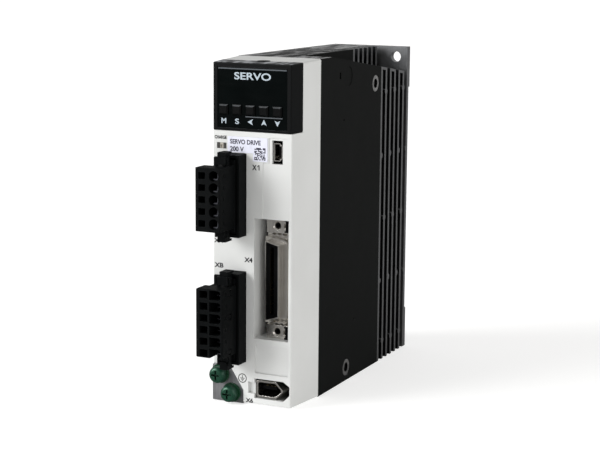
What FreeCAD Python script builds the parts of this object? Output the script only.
import FreeCAD, Part
import os
import Sketcher
from FreeCAD import Placement, Rotation, Vector

# A 40 mm wide book-type servo drive, in millimetres.
# X runs across the front from left to right, Y from the front to the panel behind, Z up.
# The origin is the middle of the base of the whole box, plugs included.
# Three datums are used below: across(a) is a mm from the left side, deep(d) is d mm
# behind the white front face, and heights are measured from the base.

DIMENSIONS = {
    # whole case
    "case_width": 40.0,
    "case_height": 150.0,
    "case_depth": 130.0,
    "plug_reach": 20.0,
    # white front cover
    "cover_depth": 25.6,
    "cover_draft": 1.1,
    "cover_wall": 1.8,
    "cover_round": 0.8,
    "panel_recess": 0.3,
    "seam_gap": 0.1,
    "scoop_across": 20.4,
    "scoop_depth": 9.2,
    "scoop_radius": 3.3,
    "socket_gap": 0.2,
    # display
    "display_left": 1.5,
    "display_right": 38.5,
    "display_flare": 0.8,
    "display_low": 119.9,
    "display_high": 148.9,
    "display_rise": 0.4,
    "display_proud": 0.4,
    "display_depth": 9.2,
    "display_wall": 1.4,
    "display_round": 0.5,
    "window_left": 3.5,
    "window_right": 36.6,
    "window_low": 121.1,
    "window_high": 147.2,
    "window_thick": 0.9,
    "window_lip": 0.4,
    "board_thick": 1.6,
    # push buttons
    "button_first": 6.6,
    "button_pitch": 6.35,
    "button_height": 128.9,
    "button_size": 4.3,
    "button_gap": 0.15,
    "button_proud": 1.0,
    "button_bevel": 0.6,
    "button_flange": 5.0,
    "button_flange_thick": 0.6,
    "button_stem_radius": 1.0,
    "button_stem": 2.9,
    "switch_size": 6.0,
    "switch_body": 3.5,
    "switch_plunger": 0.6,
    "switch_plunger_radius": 1.2,
    # digits and charge lamp
    "digits_left": 7.0,
    "digits_right": 33.0,
    "digits_low": 133.0,
    "digits_high": 142.0,
    "digits_thick": 6.2,
    "digit_pitch": 4.3,
    "digit_groove": 0.3,
    "lamp_left": 3.1,
    "lamp_right": 7.7,
    "lamp_low": 112.0,
    "lamp_high": 114.6,
    "lamp_length": 10.0,
    "led_radius": 1.5,
    "led_length": 4.5,
    "lamp_slot_edge": 1.8,
    "lamp_slot_depth": 0.5,
    "lamp_slot_top": 0.9,
    # label
    "label_left": 8.3,
    "label_right": 27.3,
    "label_step": 20.4,
    "label_high": 117.5,
    "label_mid": 110.7,
    "label_low": 107.4,
    "label_thick": 0.15,
    # shallow panel round the communication sockets
    "panel_left": 25.0,
    "panel_step": 27.8,
    "panel_right": 37.5,
    "panel_high": 117.8,
    "panel_mid": 107.0,
    # USB socket
    "usb_left": 29.3,
    "usb_right": 34.3,
    "usb_low": 106.7,
    "usb_high": 116.8,
    "usb_shell_width": 3.9,
    "usb_shell_height": 7.7,
    "usb_shell_wall": 0.35,
    "usb_front": 1.2,
    "usb_depth": 11.0,
    # signal socket recess
    "well_left": 21.0,
    "well_right": 37.4,
    "well_low": 30.3,
    "well_high": 82.9,
    "well_depth": 12.0,
    "well_wall": 1.2,
    "signal_left": 24.7,
    "signal_right": 30.3,
    "signal_low": 38.2,
    "signal_high": 72.3,
    "signal_slope": 1.6,
    "signal_front": 4.0,
    "signal_step": 7.6,
    "signal_base": 10.2,
    "signal_shell": 0.45,
    "signal_slot": 1.7,
    "signal_slot_depth": 4.5,
    "signal_skirt_right": 33.2,
    "signal_skirt": 2.0,
    "flange_right": 36.9,
    "flange_thick": 0.6,
    "jack_across": 30.0,
    "jack_high": 79.7,
    "jack_low": 33.3,
    "jack_radius": 1.25,
    "jack_sink": 0.7,
    "bracket_left": 25.2,
    "bracket_right": 35.4,
    "bracket_half": 3.0,
    "spring_thick": 0.35,
    "spring_width": 7.0,
    "spring_gap": 0.95,
    # blank panel and network socket
    "blank_left": 21.6,
    "blank_right": 37.3,
    "blank_low": 14.9,
    "blank_high": 27.5,
    "net_left": 21.3,
    "net_right": 38.2,
    "net_low": 3.7,
    "net_high": 12.5,
    "net_corner": 35.2,
    "net_side_low": 6.6,
    "net_side_high": 10.6,
    "net_key_left": 18.3,
    "net_key_low": 5.6,
    "net_key_high": 10.7,
    "net_key_depth": 1.4,
    "hex_left": 22.1,
    "hex_right": 34.7,
    "hex_low": 4.2,
    "hex_high": 11.8,
    "hex_nose": 31.4,
    "hex_chamfer": 0.7,
    "hex_tip": 0.5,
    "hex_wall": 0.8,
    "hex_front": 0.6,
    "hex_rear": 13.0,
    "tongue_left": 24.6,
    "tongue_right": 31.2,
    "tongue_thick": 1.5,
    # earth terminal corner
    "earth_side": 16.0,
    "earth_knee": 6.7,
    "earth_shoulder": 9.6,
    "earth_top": 16.4,
    "earth_high": 17.2,
    "earth_front": 0.9,
    "earth_thick": 1.5,
    "earth_block": 6.0,
    "earth_gap": 0.7,
    "earth_rim": 0.3,
    "earth_upper_across": 4.3,
    "earth_upper_height": 12.6,
    "earth_lower_across": 9.9,
    "earth_lower_height": 4.7,
    "screw_radius": 2.0,
    "thread_gap": 0.05,
    "screw_head_radius": 3.7,
    "screw_head": 3.0,
    "screw_dome": 1.7,
    "screw_length": 9.0,
    "washer_radius": 4.3,
    "washer_thick": 0.9,
    "spring_washer_radius": 3.5,
    "spring_washer_thick": 1.1,
    "washer_gap": 0.1,
    "cross_length": 4.4,
    "cross_width": 0.9,
    "cross_depth": 1.8,
    # plug-in terminals
    "pole_pitch": 5.08,
    "header_left": 2.0,
    "header_right": 17.1,
    "header_low_front": 1.0,
    "header_margin": 2.0,
    "header_tab": 0.3,
    "header_wall": 1.2,
    "header_front": 6.5,
    "header_rear": 7.0,
    "header_floor": 4.6,
    "pin_size": 1.0,
    "pin_across": 9.3,
    "pin_front": 3.0,
    "pin_rear": 13.2,
    "plug_left": 3.5,
    "plug_nose_right": 15.4,
    "plug_nose_rear": 3.6,
    "plug_nose_gap": 0.8,
    "plug_nose_start": 7.1,
    "plug_shoulder": 0.4,
    "plug_round": 0.3,
    "plug_notch": 1.2,
    "plug_notch_front": 12.5,
    "wire_hole_depth": 9.0,
    "tool_hole_depth": 8.0,
    "side_slot_length": 0.9,
    "side_slot_height": 1.9,
    "side_slot_depth": 1.2,
    "pin_socket_gap": 0.3,
    "clamp_thick": 0.5,
    "clamp_width": 2.3,
    "clamp_leaf": 1.4,
    "main_clamp_sunk": 1.8,
    "main_clamp_drop": 1.8,
    "motor_clamp_sunk": 5.0,
    "motor_clamp_drop": 1.2,
    "clamp_end": 7.95,
    "main_header_low": 75.0,
    "main_header_high": 110.3,
    "main_plug_low": 79.0,
    "main_plug_high": 106.2,
    "main_plug_right": 15.0,
    "main_first_pole": 102.85,
    "main_wire_left": 4.9,
    "main_wire_right": 8.2,
    "main_wire_height": 2.9,
    "main_tool_across": 12.15,
    "main_tool_radius": 2.3,
    "main_slot_front": 16.5,
    "motor_header_low": 19.3,
    "motor_header_high": 59.2,
    "motor_plug_low": 24.7,
    "motor_plug_high": 54.6,
    "motor_plug_right": 16.3,
    "motor_plug_step": 0.5,
    "motor_step_front": 11.0,
    "motor_first_pole": 52.2,
    "motor_wire_left": 5.3,
    "motor_wire_right": 9.2,
    "motor_wire_height": 3.2,
    "motor_tool_left": 9.95,
    "motor_tool_right": 15.45,
    "motor_tool_height": 4.2,
    "motor_tool_corner": 1.5,
    "motor_slot_front": 17.1,
    "mark_front": 14.3,
    "mark_length": 2.6,
    "mark_height": 2.7,
    "mark_depth": 0.8,
    "mark_line": 0.6,
    # plug latches
    "main_latch_left": 9.2,
    "motor_latch_left": 10.2,
    "latch_width": 3.8,
    "latch_ear": 0.8,
    "latch_ear_radius": 1.1,
    "latch_gap": 0.2,
    "latch_pivot_front": 10.4,
    "latch_pivot_below": 1.7,
    "latch_pin_radius": 0.5,
    "latch_pin_gap": 0.06,
    "latch_pad_front": 13.4,
    "latch_pad_thick": 1.2,
    "latch_pad_over": 1.0,
    "latch_pad_clear": 0.75,
    "latch_pad_short": 1.55,
    "latch_pad_top": 0.3,
    "latch_arch_front": 8.2,
    "latch_arch_rear": 5.2,
    "latch_arch_low": 0.6,
    "latch_arch_top": 1.5,
    "latch_arch_wall": 0.8,
    "latch_neck": 1.4,
    "latch_window": 2.4,
    "latch_lug": 0.45,
    "latch_lug_depth": 1.6,
    "latch_lug_width": 2.4,
    # black case
    "shell_wall": 1.6,
    "shell_rear": 126.0,
    "side_wall": 1.8,
    "side_rear": 93.5,
    "ramp_start": 37.0,
    "ramp_end_height": 137.5,
    "ramp_left": 25.5,
    "ramp_wall": 1.4,
    "vent_left": 9.0,
    "vent_right": 24.0,
    "vent_width": 1.8,
    "vent_pitch": 3.6,
    "vent_front_start": 34.0,
    "vent_front_count": 7,
    "vent_rear_start": 66.0,
    "vent_rear_count": 7,
    "side_screw_high_depth": 87.2,
    "side_screw_high_height": 135.0,
    "side_screw_low_depth": 56.7,
    "side_screw_low_height": 6.1,
    "side_head_radius": 3.8,
    "side_head": 2.4,
    "side_head_sunk": 0.2,
    "side_socket_radius": 2.2,
    "side_socket_depth": 1.4,
    "side_boss_radius": 4.9,
    "side_boss": 3.0,
    "side_screw_length": 14.0,
    "disc_depth": 55.0,
    "disc_high": 140.5,
    "disc_radius": 4.75,
    "disc_step": 0.25,
    "peg_hole_depth": 46.4,
    "peg_hole_height": 141.2,
    "peg_hole_width": 1.5,
    "peg_hole_tall": 3.0,
    "dimple_radius": 0.6,
    "dimple_step": 0.4,
    "dimple_high_depth": 50.8,
    "dimple_high_height": 121.1,
    "dimple_low_depth": 64.9,
    "dimple_low_height": 27.4,
    # heat sink
    "sink_front": 50.0,
    "sink_left": 15.0,
    "sink_base": 3.5,
    "fin_first": 94.5,
    "fin_pitch": 5.45,
    "fin_count": 6,
    "fin_thick": 1.8,
    "fin_bridge": 1.2,
    "plate_front": 126.3,
    "plate_rear": 128.7,
    "pad_height": 19.7,
    "hole_radius": 2.6,
    "hole_across_high": 34.0,
    "hole_across_low": 6.0,
    "hole_edge": 5.0,
    "stud_radius": 1.5,
    "stud_length": 4.0,
    "stud_high": 130.4,
    "stud_pitch": 60.6,
    "stud_between": 100.2,
    "stud_shift": 0.6,
    "sink_clear": 0.2,
    "boss_radius": 3.6,
    # circuit boards and what they carry
    "power_board_left": 3.4,
    "power_board_front": 11.0,
    "power_board_rear": 122.0,
    "power_board_low": 22.0,
    "power_board_high": 144.0,
    "control_board_left": 34.2,
    "control_board_front": 15.5,
    "control_board_rear": 90.0,
    "control_board_neck": 46.0,
    "control_board_low": 4.0,
    "control_board_step": 14.0,
    "control_board_high": 118.0,
    "post_radius": 2.5,
    "post_hole": 1.3,
    "post_front": 22.5,
    "post_low": 27.0,
    "post_high": 114.0,
    "board_screw_radius": 1.25,
    "board_screw_head": 2.6,
    "board_screw_head_thick": 1.5,
    "board_screw_length": 6.0,
    "capacitor_radius": 9.5,
    "capacitor_length": 27.0,
    "capacitor_depth": 37.5,
    "capacitor_low": 50.0,
    "capacitor_pitch": 22.0,
    "capacitor_count": 3,
    "capacitor_groove": 0.6,
    "capacitor_groove_at": 3.0,
    "capacitor_rim": 0.8,
    "module_front": 62.0,
    "module_length": 26.0,
    "module_low": 84.0,
    "module_height": 40.0,
    "module_thick": 5.0,
    "pad_thick": 0.3,
    "module_screw_edge": 4.0,
    "module_pin_pitch": 4.0,
    "module_pin_count": 9,
    "module_pin_size": 0.8,
    "transformer_left": 20.0,
    "transformer_front": 60.0,
    "transformer_length": 18.0,
    "transformer_low": 92.0,
    "transformer_height": 20.0,
    "transformer_core": 5.0,
    "transformer_inset": 2.5,
    "relay_front": 92.0,
    "relay_length": 16.0,
    "relay_low": 112.0,
    "relay_height": 20.0,
    "relay_thick": 9.0,
    "choke_depth": 104.0,
    "choke_height": 80.0,
    "choke_ring": 7.5,
    "choke_wire": 3.2,
    "bridge_front": 92.0,
    "bridge_length": 20.0,
    "bridge_low": 42.0,
    "bridge_height": 16.0,
    "bridge_thick": 4.6,
    "bridge_hole": 1.7,
    "link_front": 17.0,
    "link_width": 4.0,
    "link_low": 64.0,
    "link_length": 24.0,
    "link_pin_count": 9,
    "link_pin_pitch": 2.54,
    "link_pin_size": 0.64,
    "link_block": 8.0,
    "chip_front": 58.0,
    "chip_size": 16.0,
    "chip_low": 46.0,
    "chip_thick": 1.4,
}

doc = FreeCAD.newDocument("servo_drive")
sheet = doc.addObject("Spreadsheet::Sheet", "dims")
for row, (alias, number) in enumerate(DIMENSIONS.items(), start=1):
    sheet.set(f"A{row}", alias)
    sheet.set(f"B{row}", str(number))
    sheet.setAlias(f"B{row}", alias)
doc.recompute()


class Size:
    """A length that keeps its value beside the sheet expression that gives it."""

    def __init__(self, value, text):
        self.value = value
        self.text = text

    def __add__(self, other):
        other = as_size(other)
        return Size(self.value + other.value, f"({self.text} + {other.text})")

    def __sub__(self, other):
        other = as_size(other)
        return Size(self.value - other.value, f"({self.text} - {other.text})")

    def __mul__(self, other):
        other = as_size(other)
        return Size(self.value * other.value, f"({self.text} * {other.text})")

    def __truediv__(self, other):
        other = as_size(other)
        return Size(self.value / other.value, f"({self.text} / {other.text})")

    def __neg__(self):
        return Size(-self.value, f"(-1 * {self.text})")


def as_size(length):
    """Give a plain number the form of a Size."""
    if isinstance(length, Size):
        return length
    return Size(float(length), f"({length})")


class Dimensions:
    """The sheet's cells by name, such as D.case_width."""

    def __getattr__(self, alias):
        return Size(float(sheet.get(alias)), f"dims.{alias}")


D = Dimensions()


def across(distance):
    """X of a point that many millimetres from the left side."""
    return as_size(distance) - D.case_width / 2


def deep(distance):
    """Y of a point that many millimetres behind the white front face."""
    return as_size(distance) - (D.case_depth - D.plug_reach) / 2


def count(alias):
    """A whole number from the sheet."""
    return int(sheet.get(alias))


NODES = []


def node(item):
    """Mark an object as one finished sub-part; its label names its file."""
    item.Label = item.Name
    NODES.append(item)
    return item


def bind(item, name, length):
    """Bind one property to its sheet expression."""
    item.setExpression(name, as_size(length).text)


def place(item, x, y, z):
    """Bind the position of an object."""
    bind(item, "Placement.Base.x", x)
    bind(item, "Placement.Base.y", y)
    bind(item, "Placement.Base.z", z)


def box(name, x, y, z):
    """A box between the pairs x, y and z."""
    item = doc.addObject("Part::Box", name)
    bind(item, "Length", x[1] - as_size(x[0]))
    bind(item, "Width", y[1] - as_size(y[0]))
    bind(item, "Height", z[1] - as_size(z[0]))
    place(item, x[0], y[0], z[0])
    return item


TURNS = {
    "X": Rotation(Vector(0, 0, 1), Vector(1, 0, 0)),
    "Y": Rotation(Vector(0, 0, 1), Vector(0, 1, 0)),
    "Z": Rotation(),
}


def rod(name, axis, centre, span, radius):
    """A cylinder along one axis; centre holds the two other coordinates in X, Y, Z order."""
    item = doc.addObject("Part::Cylinder", name)
    item.Placement = Placement(Vector(), TURNS[axis])
    bind(item, "Radius", radius)
    bind(item, "Height", span[1] - as_size(span[0]))
    corner = list(centre)
    corner.insert("XYZ".index(axis), span[0])
    place(item, *corner)
    return item


def wedge(name, y, front_x, front_z, rear_x, rear_z):
    """A block whose front and rear rectangles differ."""
    item = doc.addObject("Part::Wedge", name)
    for prop, length in (
        ("Xmin", front_x[0]),
        ("Xmax", front_x[1]),
        ("Zmin", front_z[0]),
        ("Zmax", front_z[1]),
        ("X2min", rear_x[0]),
        ("X2max", rear_x[1]),
        ("Z2min", rear_z[0]),
        ("Z2max", rear_z[1]),
        ("Ymin", y[0]),
        ("Ymax", y[1]),
    ):
        bind(item, prop, length)
    return item


PLANES = {"X": "YZ_Plane", "Y": "XZ_Plane", "Z": "XY_Plane"}


def origin_plane(body, role):
    """One of the body's own origin planes."""
    return next(item for item in body.Origin.OriginFeatures if item.Role == role)


def prism(name, axis, outline, span):
    """A sketched outline padded along one axis between the two ends of span."""
    body = doc.addObject("PartDesign::Body", name)
    sketch = body.newObject("Sketcher::SketchObject", name + "_sketch")
    sketch.AttachmentSupport = (origin_plane(body, PLANES[axis]), [""])
    sketch.MapMode = "FlatFace"
    # The XZ plane looks towards -Y, so a pad along Y starts from its far end.
    offset = -as_size(span[1]) if axis == "Y" else as_size(span[0])
    sketch.setExpression("AttachmentOffset.Base.z", offset.text)
    corners = [(as_size(u), as_size(v)) for u, v in outline]
    total = len(corners)
    for index in range(total):
        u0, v0 = corners[index]
        u1, v1 = corners[(index + 1) % total]
        sketch.addGeometry(Part.LineSegment(Vector(u0.value, v0.value, 0), Vector(u1.value, v1.value, 0)))
    for index in range(total):
        sketch.addConstraint(Sketcher.Constraint("Coincident", index, 2, (index + 1) % total, 1))
    for index, (u, v) in enumerate(corners):
        for kind, length in (("DistanceX", u), ("DistanceY", v)):
            number = sketch.addConstraint(Sketcher.Constraint(kind, -1, 1, index, 1, length.value))
            sketch.setExpression(f"Constraints[{number}]", length.text)
    pad = body.newObject("PartDesign::Pad", name + "_pad")
    pad.Profile = sketch
    bind(pad, "Length", span[1] - as_size(span[0]))
    body.Tip = pad
    return body


def join(name, items):
    """One solid from pieces that touch."""
    item = doc.addObject("Part::MultiFuse", name)
    item.Shapes = items
    item.Refine = True
    return item


def carve(name, base, tools):
    """The base without its tools."""
    item = doc.addObject("Part::Cut", name)
    item.Base = base
    if len(tools) == 1:
        item.Tool = tools[0]
    else:
        item.Tool = bundle(name + "_tools", tools)
    return item


def bundle(name, items):
    """Separate solids kept in one object."""
    item = doc.addObject("Part::Compound", name)
    item.Links = items
    return item


def eased(kind, name, base, size, chosen):
    """The base with the edges that chosen accepts broken by one size."""
    doc.recompute()
    item = doc.addObject(kind, name)
    item.Base = base
    item.Edges = [
        (number, size.value, size.value)
        for number, edge in enumerate(base.Shape.Edges, start=1)
        if chosen(edge)
    ]
    return item


def rounded(name, base, radius, chosen):
    """The base with the chosen edges rounded."""
    return eased("Part::Fillet", name, base, radius, chosen)


def bevelled(name, base, size, chosen):
    """The base with the chosen edges cut at 45 degrees."""
    return eased("Part::Chamfer", name, base, size, chosen)


def touches_front(y):
    """A test for edges with an end on the plane at that depth."""
    def test(edge):
        return any(abs(vertex.Y - y.value) < 0.01 for vertex in edge.Vertexes)
    return test


def touches_front_only(y):
    """A test for edges that lie in the plane at that depth."""
    def test(edge):
        return abs(edge.BoundBox.YMin - y.value) < 0.01 and abs(edge.BoundBox.YMax - y.value) < 0.01
    return test


def runs_along(direction):
    """A test for straight edges along one direction."""
    def test(edge):
        if len(edge.Vertexes) != 2:
            return False
        step = edge.Vertexes[1].Point - edge.Vertexes[0].Point
        return step.Length > 0 and abs(abs(step.normalize().dot(direction)) - 1) < 1e-6
    return test


def right_edges(right):
    """A test for edges along Y that many millimetres from the left side."""
    limit = across(right).value
    forward = runs_along(Vector(0, 1, 0))

    def test(edge):
        return forward(edge) and abs(edge.Vertexes[0].X - limit) < 0.01
    return test


# ---------------------------------------------------------------- front cover and display

WIDTH = (across(0), across(D.case_width))
FRONT_WALL = (deep(-1), deep(D.cover_wall + 1))


def front_cover():
    """White moulded shell, open behind, tapering a little to the front."""
    draft = D.cover_draft
    wall = D.cover_wall
    depth = (deep(0), deep(D.cover_depth))
    outer = wedge(
        "cover_outer",
        depth,
        (across(draft), across(D.case_width - draft)),
        (draft, D.case_height - draft),
        WIDTH,
        (as_size(0), D.case_height),
    )
    smooth = rounded("cover_rounded", outer, D.cover_round, touches_front(deep(0)))
    inner = wedge(
        "cover_inner",
        (deep(wall), deep(D.cover_depth)),
        (across(draft + wall), across(D.case_width - draft - wall)),
        (draft + wall, D.case_height - draft - wall),
        (across(wall), across(D.case_width - wall)),
        (wall, D.case_height - wall),
    )
    shell = carve("cover_shell", smooth, [inner])
    rim = D.well_wall
    well = box(
        "cover_well",
        (across(D.well_left - rim), across(D.well_right + rim / 2)),
        (deep(wall / 2), deep(D.well_depth)),
        (D.well_low - rim, D.well_high + rim),
    )
    gap = D.socket_gap
    openings = [
        scoop("cover"),
        box(
            "cover_display_opening",
            (across(-1), across(D.case_width + 1)),
            (deep(-1), deep(D.display_depth + gap)),
            (D.display_low - gap / 2, D.case_height + 1),
        ),
        box(
            "cover_well_opening",
            (across(D.well_left), across(D.well_right)),
            (deep(-1), deep(D.well_depth + 1)),
            (D.well_low, D.well_high),
        ),
        box(
            "cover_lamp_opening",
            (across(D.lamp_left), across(D.lamp_right)),
            FRONT_WALL,
            (D.lamp_low, D.lamp_high),
        ),
        box(
            "cover_usb_opening",
            (across(D.usb_left), across(D.usb_right)),
            FRONT_WALL,
            (D.usb_low, D.usb_high),
        ),
        box(
            "cover_blank_panel",
            (across(D.blank_left), across(D.blank_right)),
            (deep(-1), deep(D.panel_recess * 2)),
            (D.blank_low, D.blank_high),
        ),
        box(
            "cover_network_key",
            (across(D.net_key_left), across(D.net_left + 0.5)),
            (deep(-1), deep(D.net_key_depth)),
            (D.net_key_low, D.net_key_high),
        ),
        prism(
            "cover_socket_panel",
            "Y",
            [
                (across(D.panel_left), D.well_high - 1),
                (across(D.panel_right), D.well_high - 1),
                (across(D.panel_right), D.panel_high),
                (across(D.panel_step), D.panel_high),
                (across(D.panel_step), D.panel_mid),
                (across(D.panel_left), D.panel_mid),
            ],
            (deep(-1), deep(D.panel_recess)),
        ),
        prism(
            "cover_network_opening",
            "Y",
            [
                (across(D.net_left), D.net_low),
                (across(D.net_corner), D.net_low),
                (across(D.net_right), D.net_side_low),
                (across(D.net_right), D.net_side_high),
                (across(D.net_corner), D.net_high),
                (across(D.net_left), D.net_high),
            ],
            FRONT_WALL,
        ),
        prism(
            "cover_earth_opening",
            "Y",
            earth_outline(0, -1),
            (deep(-1), deep(D.earth_front + D.earth_thick + D.earth_block + gap)),
        ),
    ]
    opening_depth = (deep(-1), deep(-1), deep(D.header_rear + gap))
    for connector in (MAIN, MOTOR):
        openings += header_blocks("cover_opening", connector, gap, opening_depth)
    return node(carve("front_cover", join("cover_walls", [shell, well]), openings))


def scoop(owner):
    """Round hole in the top, half in the cover and half in the display block."""
    return rod(
        f"{owner}_scoop",
        "Z",
        (across(D.scoop_across), deep(D.scoop_depth)),
        (D.case_height - D.cover_wall * 1.5, D.case_height + 1),
        D.scoop_radius,
    )


def earth_outline(inset, corner):
    """The cut-off corner of the cover, or the plate in it when inset by a gap."""
    low = as_size(corner)
    return [
        (across(low), low),
        (across(D.earth_side - inset), low),
        (across(D.earth_side - inset), D.earth_knee),
        (across(D.earth_shoulder - inset), D.earth_top - inset),
        (across(D.earth_shoulder - 1.0 - inset), D.earth_high - inset),
        (across(low), D.earth_high - inset),
    ]


def display_bezel():
    """Black block across the top of the front, flush with the flared sides and the top."""
    flare = D.display_flare
    wall = D.display_wall
    outer = wedge(
        "bezel_outer",
        (deep(-D.display_proud), deep(D.display_depth)),
        (across(D.display_left), across(D.display_right)),
        (D.display_low, D.display_high),
        (across(D.display_left - flare), across(D.display_right + flare)),
        (D.display_low, D.display_high + D.display_rise),
    )
    smooth = rounded("bezel_rounded", outer, D.display_round, touches_front(deep(-D.display_proud)))
    recess = D.window_thick + 0.1 - D.display_proud
    window = box(
        "bezel_window_recess",
        (across(D.window_left), across(D.window_right)),
        (deep(-1), deep(recess)),
        (D.window_low, D.window_high),
    )
    lip = D.window_lip
    through = box(
        "bezel_opening",
        (across(D.window_left + lip), across(D.window_right - lip)),
        (deep(-1), deep(D.display_depth + 1)),
        (D.window_low + lip, D.window_high - lip),
    )
    hollow = box(
        "bezel_hollow",
        (across(D.display_left + wall), across(D.display_right - wall)),
        (deep(recess + wall), deep(D.display_depth + 1)),
        (D.display_low + wall, D.display_high - wall),
    )
    return node(carve("display_bezel", smooth, [window, through, hollow, scoop("bezel")]))


def button_centre(index):
    """X of a push button."""
    return across(D.button_first + D.button_pitch * index)


def square(name, centre_x, centre_z, size, y):
    """A square bar along Y."""
    half = as_size(size) / 2
    return box(name, (centre_x - half, centre_x + half), y, (centre_z - half, centre_z + half))


def display_window():
    """Smoked panel over the digits, with a hole for each push button."""
    rear = D.window_thick - D.display_proud + 0.1
    panel = box(
        "window_panel",
        (across(D.window_left + 0.1), across(D.window_right - 0.1)),
        (deep(rear - D.window_thick), deep(rear)),
        (D.window_low + 0.1, D.window_high - 0.1),
    )
    holes = [
        square(
            f"window_hole_{index}",
            button_centre(index),
            D.button_height,
            D.button_size + D.button_gap * 2,
            (deep(-2), deep(2)),
        )
        for index in range(5)
    ]
    return node(carve("display_window", panel, holes))


def push_button(index, name):
    """Key cap, retaining flange and stem."""
    x = button_centre(index)
    z = D.button_height
    window_front = as_size(0.1) - D.display_proud
    flange = window_front + D.window_thick + 0.05
    top = deep(window_front - D.button_proud)
    cap = square(name + "_cap", x, z, D.button_size, (top, deep(flange)))
    soft = bevelled(name + "_soft", cap, D.button_bevel, touches_front_only(top))
    flange_depth = (deep(flange), deep(flange + D.button_flange_thick))
    rim = square(name + "_flange", x, z, D.button_flange, flange_depth)
    stem_start = flange + D.button_flange_thick / 2
    stem_depth = (deep(stem_start), deep(stem_start + D.button_stem))
    stem = rod(name + "_stem", "Y", (x, z), stem_depth, D.button_stem_radius)
    return node(join(name, [soft, rim, stem]))


def display_electronics():
    """Board behind the display with its switches and digits."""
    front = D.display_depth + 0.2
    board = box(
        "display_board",
        (across(D.display_left + D.display_wall + 0.3), across(D.display_right - D.display_wall - 0.3)),
        (deep(front), deep(front + D.board_thick)),
        (D.window_low, D.window_high),
    )
    node(board)
    switches = []
    for index in range(5):
        x = button_centre(index)
        body = square(
            f"switch_body_{index}",
            x,
            D.button_height,
            D.switch_size,
            (deep(front - D.switch_body), deep(front)),
        )
        plunger = rod(
            f"switch_plunger_{index}",
            "Y",
            (x, D.button_height),
            (deep(front - D.switch_body - D.switch_plunger), deep(front - D.switch_body / 2)),
            D.switch_plunger_radius,
        )
        switches.append(join(f"switch_{index}", [body, plunger]))
    node(bundle("tact_switches", switches))
    block = box(
        "digit_block",
        (across(D.digits_left), across(D.digits_right)),
        (deep(front - D.digits_thick), deep(front)),
        (D.digits_low, D.digits_high),
    )
    grooves = []
    for index in range(1, 6):
        a = D.digits_left + D.digit_pitch * index
        grooves.append(
            box(
                f"digit_groove_{index}",
                (across(a), across(a + D.digit_groove)),
                (deep(0), deep(front - D.digits_thick + D.digit_groove)),
                (D.digits_low, D.digits_high),
            )
        )
    node(carve("led_digits", block, grooves))


def charge_lamp():
    """Clear bar in the front that carries the light of a small lamp behind it."""
    bar = box(
        "lamp_bar",
        (across(D.lamp_left + 0.1), across(D.lamp_right - 0.1)),
        (deep(0.1), deep(D.lamp_length)),
        (D.lamp_low + 0.1, D.lamp_high - 0.1),
    )
    slot = box(
        "lamp_slot",
        (across(D.lamp_left + D.lamp_slot_edge), across(D.lamp_right - D.lamp_slot_edge)),
        (deep(0), deep(D.lamp_slot_depth)),
        (D.lamp_low, D.lamp_high - D.lamp_slot_top),
    )
    node(carve("charge_lamp", bar, [slot]))
    start = D.lamp_length + 0.4
    centre = (across(D.power_board_left + D.board_thick + D.led_radius + 0.1), (D.lamp_low + D.lamp_high) / 2)
    node(rod("charge_led", "Y", centre, (deep(start), deep(start + D.led_length)), D.led_radius))


def front_label():
    """L-shaped rating label on the white face."""
    gap = as_size(0.02)
    return node(
        prism(
            "front_label",
            "Y",
            [
                (across(D.label_left), D.label_mid),
                (across(D.label_step), D.label_mid),
                (across(D.label_step), D.label_low),
                (across(D.label_right), D.label_low),
                (across(D.label_right), D.label_high),
                (across(D.label_left), D.label_high),
            ],
            (deep(-D.label_thick), deep(-gap)),
        )
    )


# ---------------------------------------------------------------- front sockets


def usb_socket():
    """Small upright socket: a folded steel shell round a plastic tongue."""
    x = (D.usb_left + D.usb_right) / 2
    z = (D.usb_low + D.usb_high) / 2
    half_x = D.usb_shell_width / 2
    half_z = D.usb_shell_height / 2
    wall = D.usb_shell_wall
    rear = D.usb_front + D.usb_depth
    step = as_size(1.2)
    outline = [
        (across(x - half_x), z - half_z),
        (across(x + half_x - step), z - half_z),
        (across(x + half_x), z - half_z + step),
        (across(x + half_x), z + half_z - step),
        (across(x + half_x - step), z + half_z),
        (across(x - half_x), z + half_z),
    ]
    outer = prism("usb_outer", "Y", outline, (deep(D.usb_front), deep(rear)))
    hollow = box(
        "usb_hollow",
        (across(x - half_x + wall), across(x + half_x - step)),
        (deep(0), deep(rear - wall)),
        (z - half_z + wall, z + half_z - wall),
    )
    side = box(
        "usb_side_hollow",
        (across(x), across(x + half_x - wall)),
        (deep(0), deep(rear - wall)),
        (z - half_z + step, z + half_z - step),
    )
    node(carve("usb_shell", outer, [hollow, side]))
    node(
        box(
            "usb_tongue",
            (across(x - wall), across(x + wall * 2)),
            (deep(D.usb_front + 1.5), deep(rear - wall)),
            (z - half_z + step + 0.4, z + half_z - step - 0.4),
        )
    )


def signal_outline(grow, right):
    """D shape of the signal socket: a tall left side and sloping top and bottom."""
    grow = as_size(grow)
    return [
        (across(D.signal_left - grow), D.signal_low - grow),
        (across(right + grow), D.signal_low + D.signal_slope - grow),
        (across(right + grow), D.signal_high - D.signal_slope + grow),
        (across(D.signal_left - grow), D.signal_high + grow),
    ]


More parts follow.
